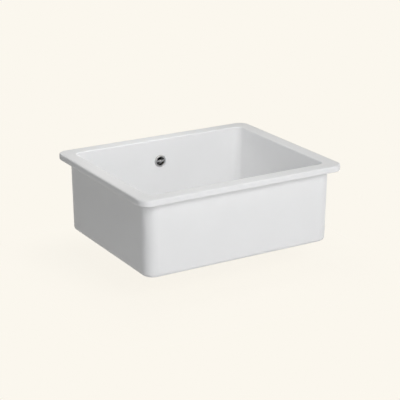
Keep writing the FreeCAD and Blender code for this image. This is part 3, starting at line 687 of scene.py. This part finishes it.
@dataclass
class SubAssembly:
    """Pieces that share a body of the frame.

    Attributes:
        body: The body they ride on.
    """

    body: Body

    def finishes(self) -> dict[str, Finish]:
        """The finish of each of the frame's nodes."""
        raise NotImplementedError

    def build(self) -> None:
        """Dress the nodes, then make the finer pieces."""
        for node, finish in self.finishes().items():
            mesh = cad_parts[node].data
            mesh.materials.clear()
            mesh.materials.append(finish.material())
            log.info("%s dressed in %s", node, finish.name)
        self.build_details()

    def build_details(self) -> None:
        """Make the pieces whose form is finer than the frame's; a plain sub-assembly has none."""

    def threaded(self, name: str, node: str, slot: Slot, threads: list[Thread]) -> None:
        """Make a piece with cut threads that stands for a node.

        Args:
            name: The new piece's name.
            node: The node it replaces, whose mesh and finish it copies.
            slot: Not used.
            threads: Its threads.
        """
        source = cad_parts[node].data
        mesh = source.copy()
        mesh.name = name
        work = bmesh.new()
        work.from_mesh(mesh)
        kept = work.verts.layers.float_vector.new(KEPT_NORMAL)
        work.verts.ensure_lookup_table()
        for corner, normal in zip(source.loops, source.corner_normals):
            work.verts[corner.vertex_index][kept] = normal.vector
        for thread in threads:
            thread.turn_down(work)
        for thread in threads:
            thread.cut(work)
        for face in work.faces:
            face.smooth = True
        work.to_mesh(mesh)
        work.free()
        restore_normals(mesh)
        piece = bpy.data.objects.new(name, mesh)
        bpy.context.collection.objects.link(piece)
        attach(piece, self.body.value)
        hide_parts(node)
        log.info("%s with %d threads stands for %s", name, len(threads), node)


@dataclass
class Basin(SubAssembly):
    """The fired basin with its flat rim.

    Attributes:
        foot: Height of its ground underside, in metres.
        ripple: Depth of the slow waves that firing leaves, in metres.
        orange_peel: Depth of the glaze's fine dimples, in metres.
        white: Colour of the glaze.
        roughness: Roughness of the glaze.
    """

    body: Body = Body.SINK
    foot: float = -0.1836
    ripple: float = 0.00010
    orange_peel: float = 0.000012
    white: Colour = (0.860, 0.860, 0.861)
    roughness: float = 0.40

    def finishes(self) -> dict[str, Finish]:
        """One piece, glazed all over but for its ground underside."""
        return {"basin": Glaze("white_glaze", self.white, self.roughness, self.foot, self.ripple,
                               self.orange_peel)}


@dataclass
class StrainerWaste(SubAssembly):
    """Strainer dish, seals, waste body and the screw that holds them.

    Attributes:
        outlet_end: Height of the outlet's free end, in metres.
        outlet_run: Length of its thread.
        outlet_crest: Radius over its thread.
        outlet_depth: Height of its thread.
        outlet_pitch: Pitch of its thread.
        outlet_sectors: Steps round its thread.
        nozzle_height: Height of the side nozzle's axis.
        nozzle_end: Distance of its free end behind the drain's axis.
        nozzle_run: Length of its thread.
        nozzle_crest: Radius over its thread.
        nozzle_depth: Height of its thread.
        nozzle_pitch: Pitch of its thread.
    """

    body: Body = Body.SINK
    outlet_end: float = -0.2614
    outlet_run: float = 0.0254
    outlet_crest: float = 0.0239
    outlet_depth: float = 0.00143
    outlet_pitch: float = 0.002309
    outlet_sectors: int = 96
    nozzle_height: float = -0.2066
    nozzle_end: float = 0.0720
    nozzle_run: float = 0.0168
    nozzle_crest: float = 0.0135
    nozzle_depth: float = 0.0011
    nozzle_pitch: float = 0.0020

    def finishes(self) -> dict[str, Finish]:
        """Steel above the basin's floor, plastic and rubber below it."""
        return {"strainer_dish": STEEL, "dish_seal": RUBBER, "waste_gasket": RUBBER,
                "waste_body": PLASTIC, "hub_insert": BRASS, "screw_washer": STEEL,
                "fixing_screw": STEEL}

    def build_details(self) -> None:
        """Cut the threads of the outlet and of the side nozzle."""
        outlet = Thread((0.0, 0.0, self.outlet_end), (0.0, 0.0, 1.0), self.outlet_run,
                        self.outlet_crest, self.outlet_crest - self.outlet_depth,
                        self.outlet_pitch, self.outlet_sectors)
        nozzle = Thread((0.0, self.nozzle_end, self.nozzle_height), (0.0, -1.0, 0.0),
                        self.nozzle_run, self.nozzle_crest,
                        self.nozzle_crest - self.nozzle_depth, self.nozzle_pitch)
        self.threaded("waste_body_threaded", "waste_body", Slot.PLASTIC, [outlet, nozzle])


@dataclass
class Basket(SubAssembly):
    """The lift-out basket with its plug."""

    body: Body = Body.BASKET

    def finishes(self) -> dict[str, Finish]:
        """Steel cup, stem, knob and disc, rubber grip ring and plug, brass nut."""
        return {"basket_cup": STEEL, "basket_stem": STEEL, "basket_grip": RUBBER,
                "basket_knob": STEEL, "basket_plug": RUBBER, "plug_retainer": STEEL,
                "stem_nut": BRASS}


@dataclass
class Overflow(SubAssembly):
    """Rosette, screw, cup behind the wall, pipe and compression nuts.

    Attributes:
        tilt: Lean of the basin's wall, in degrees.
        spigot_run: Length of the thread on the head's spigot.
        spigot_crest: Radius over it.
        spigot_pitch: Its pitch.
        spigot_depth: Its height.
    """

    body: Body = Body.SINK
    tilt: float = 0.78
    spigot_run: float = 0.0146
    spigot_crest: float = 0.0135
    spigot_pitch: float = 0.0020
    spigot_depth: float = 0.0011

    def finishes(self) -> dict[str, Finish]:
        """Chrome in the bowl, plastic, rubber and a brass insert behind the wall."""
        return {"overflow_rosette": CHROME, "overflow_screw": CHROME, "overflow_gasket": RUBBER,
                "overflow_head": PLASTIC, "overflow_insert": BRASS, "overflow_pipe": PLASTIC,
                "overflow_nut_upper": PLASTIC, "overflow_ring_upper": RUBBER,
                "overflow_nut_lower": PLASTIC, "overflow_ring_lower": RUBBER}

    def build_details(self) -> None:
        """Cut the thread of the head's spigot, which leans with the wall."""
        lean = math.radians(self.tilt)
        up = Vector((0.0, math.sin(lean), math.cos(lean)))
        low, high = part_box("overflow_ring_upper")
        middle = (Vector(low) + Vector(high)) / 2
        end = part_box("overflow_head")[0][2] + self.spigot_crest * math.sin(lean)
        foot = middle + up * ((end - middle.z) / up.z)
        spigot = Thread((0.0, foot.y, foot.z), tuple(up), self.spigot_run, self.spigot_crest,
                        self.spigot_crest - self.spigot_depth, self.spigot_pitch)
        self.threaded("overflow_head_threaded", "overflow_head", Slot.PLASTIC, [spigot])


# ---------------------------------------------------------------- studio

# What the large lamps face: the middle of the basin.
MIDDLE: Point = (0.0, 0.0, -0.08)
# How far a lamp's mirrored part stands in front of its other part, in metres.
MIRRORED_STEP = 0.03


@dataclass(frozen=True)
class Softbox:
    """A square lamp that looks at a target.

    Attributes:
        name: Its name.
        place: Where it stands, in metres.
        target: The point it faces.
        size: Its side, in metres.
        power: Its power, in watts.
        gleam: Share of its power that glossy surfaces show.
    """

    name: str
    place: Point
    target: Point
    size: float
    power: float
    gleam: float = 0.35

    def build(self) -> None:
        """Put the lamp in the scene, as a part that shows in gloss and a part that doesn't."""
        if self.gleam:
            self.build_part(self.name, self.power * self.gleam, True)
        self.build_part(self.name + "_fill", self.power * (1 - self.gleam), False)

    def build_part(self, name: str, power: float, mirrored: bool) -> None:
        """Put one part of the lamp in the scene, the mirrored one a little in front.

        Args:
            name: The part's name.
            power: Its power, in watts.
            mirrored: Whether glossy surfaces show it.
        """
        lamp = bpy.data.lights.new(name, "AREA")
        lamp.shape = "SQUARE"
        lamp.size = self.size
        lamp.energy = power
        item = bpy.data.objects.new(name, lamp)
        facing = Vector(self.target) - Vector(self.place)
        step = MIRRORED_STEP if mirrored else 0.0
        item.location = Vector(self.place) + facing.normalized() * step
        item.rotation_mode = "QUATERNION"
        item.rotation_quaternion = facing.to_track_quat("-Z", "Y")
        item.visible_camera = False
        item.visible_glossy = mirrored
        bpy.context.collection.objects.link(item)


@dataclass(frozen=True)
class Studio:
    """Cream sweep, soft lamps and the camera.

    Attributes:
        cream: Colour of the background.
        floor_level: Height of the floor, in metres.
        floor_reach: Half its side, in metres.
        floor_shine: Light that the lamps put on the floor beside the sink.
        bounce: Grey of the floor for the light that it sends back.
        shadow: Share of the floor's look that the lamps make, beside the sink.
        shadow_reach: Distance from the sink at which that share is none, in metres.
        ambient: Strength of the even light from all round.
        sky: Its colour, which makes up for the cream that gloss picks up.
        eye: Where the camera stands, in metres.
        yaw: Its turn from +Y towards +X, in degrees.
        pitch: Its tilt below the horizon, in degrees.
        lens: Its focal length, in millimetres.
        sensor: Width of its sensor, in millimetres.
        lamps: The lamps, each as name, place, target, size, power and gleam.
    """

    cream: Colour = shade(251, 247, 238)
    floor_level: float = -0.2620
    floor_reach: float = 6.0
    floor_shine: float = 0.68
    bounce: float = 0.8
    shadow: float = 0.060
    shadow_reach: float = 0.16
    ambient: float = 0.178
    sky: Colour = (0.965, 1.0, 1.04)
    eye: Point = (-1.5470, -2.6140, 0.9436)
    yaw: float = 30.716
    pitch: float = 18.853
    lens: float = 115.384
    sensor: float = 36.0
    lamps: tuple[Softbox, ...] = (
        Softbox("front_softbox", (0.0, -2.71, 1.62), MIDDLE, 1.5, 45.5),
        Softbox("low_softbox", (0.0, -3.17, 0.37), MIDDLE, 1.5, 12.0),
        Softbox("corner_softbox", (2.43, -2.04, 0.37), MIDDLE, 1.5, 3.8),
        Softbox("left_softbox", (-2.4, -2.0, 0.9), MIDDLE, 1.5, 2.4),
        Softbox("over_softbox", (-0.1, 0.0, 0.6), (-0.05, 0.0, -0.05), 0.6, 1.02, 0.0),
        Softbox("bowl_softbox", (-0.05, 0.08, 0.35), (0.0, 0.0, -0.05), 0.3, 0.42, 0.0),
        Softbox("back_softbox", (0.6, 2.4, -0.02), (0.0, 0.2, -0.08), 0.44, 13.0, 0.0),
        Softbox("side_softbox", (2.4, 0.6, -0.02), (0.2, 0.0, -0.08), 0.44, 9.0, 0.0),
    )

    def build(self) -> None:
        """Make the world, the floor, the lamps and the camera."""
        self.build_world()
        self.build_floor()
        for lamp in self.lamps:
            lamp.build()
        self.build_camera()
        bpy.context.scene.view_settings.view_transform = "Standard"
        log.info("studio with %d lamps", len(self.lamps))

    def seen_share(self, graph: Graph) -> Socket:
        """Tell rays that show the background itself from rays that bring its light.

        Args:
            graph: The graph that asks.

        Returns:
            1 for rays by sight, in gloss or through glass, and 0 for others.
        """
        path = graph.add("LightPath").outputs
        seen = graph.math("MAXIMUM", path["Is Camera Ray"], path["Is Glossy Ray"])
        return graph.math("MAXIMUM", seen, path["Is Transmission Ray"])

    def build_world(self) -> None:
        """Even pale light from all round, seen as cream."""
        world = bpy.data.worlds.new("studio")
        world.use_nodes = True
        bpy.context.scene.world = world
        graph = Graph(world.node_tree)
        light = graph.add("Background", {"Color": opaque(self.sky), "Strength": self.ambient})
        cream = graph.add("Background", {"Color": opaque(self.cream), "Strength": 1.0})
        look = graph.blend(self.seen_share(graph), light.outputs[0], cream.outputs[0])
        graph.add("OutputWorld", {"Surface": look})

    def build_floor(self) -> None:
        """A wide floor whose own cream takes a soft shadow near the sink."""
        mesh = bpy.data.meshes.new("studio_floor")
        reach, level = self.floor_reach, self.floor_level
        mesh.from_pydata([(-reach, -reach, level), (reach, -reach, level), (reach, reach, level),
                          (-reach, reach, level)], [], [(0, 1, 2, 3)])
        floor = bpy.data.objects.new("studio_floor", mesh)
        bpy.context.collection.objects.link(floor)
        mesh.materials.append(self.floor_material())

    def away(self, graph: Graph) -> Socket:
        """Measure how far a place on the floor is from the sink.

        Args:
            graph: The floor's graph.

        Returns:
            The distance from the frame's box, in metres.
        """
        parts = graph.add("SeparateXYZ", {"Vector": graph.place()}).outputs
        past = []
        for axis, low, high in zip("XY", *CAD_BOX):
            offset = graph.math("SUBTRACT", parts[axis], (low + high) / 2)
            beyond = graph.math("SUBTRACT", graph.math("ABSOLUTE", offset), (high - low) / 2)
            past.append(graph.math("MAXIMUM", beyond, 0.0))
        return graph.distance(*past)

    def floor_material(self) -> bpy.types.Material:
        """Make the floor's material.

        Returns:
            Cream that takes the sink's soft shadow, grey for the light that it sends back, and
            clear from below.
        """
        material, graph = new_material("cream_floor")
        share = graph.ramp(self.away(graph), 0.0, self.shadow_reach, self.shadow, 0.0)
        lit = graph.add("BsdfDiffuse", {"Color": opaque(toned(self.cream, 1 / self.floor_shine))})
        glow = graph.add("Emission", {"Color": opaque(self.cream), "Strength": 1.0})
        look = graph.blend(share, glow.outputs[0], lit.outputs[0])
        grey = graph.add("BsdfDiffuse", {"Color": (self.bounce, self.bounce, self.bounce, 1.0)})
        mixed = graph.blend(self.seen_share(graph), grey.outputs[0], look)
        below = graph.add("NewGeometry").outputs["Backfacing"]
        clear = graph.add("BsdfTransparent")
        whole = graph.blend(below, mixed, clear.outputs[0])
        graph.add("OutputMaterial", {"Surface": whole})
        return material

    def build_camera(self) -> None:
        """The camera of the reference view."""
        data = bpy.data.cameras.new("camera")
        data.lens = self.lens
        data.sensor_width = self.sensor
        camera = bpy.data.objects.new("camera", data)
        camera.location = self.eye
        camera.rotation_euler = (math.radians(90 - self.pitch), 0.0, math.radians(-self.yaw))
        bpy.context.collection.objects.link(camera)
        bpy.context.scene.camera = camera


def main() -> None:
    """Build every sub-assembly and the studio."""
    logging.basicConfig(level=logging.INFO, format="%(name)s: %(message)s")
    for assembly in (Basin(), StrainerWaste(), Basket(), Overflow()):
        assembly.build()
    Studio().build()


if __name__ == "__main__":
    main()
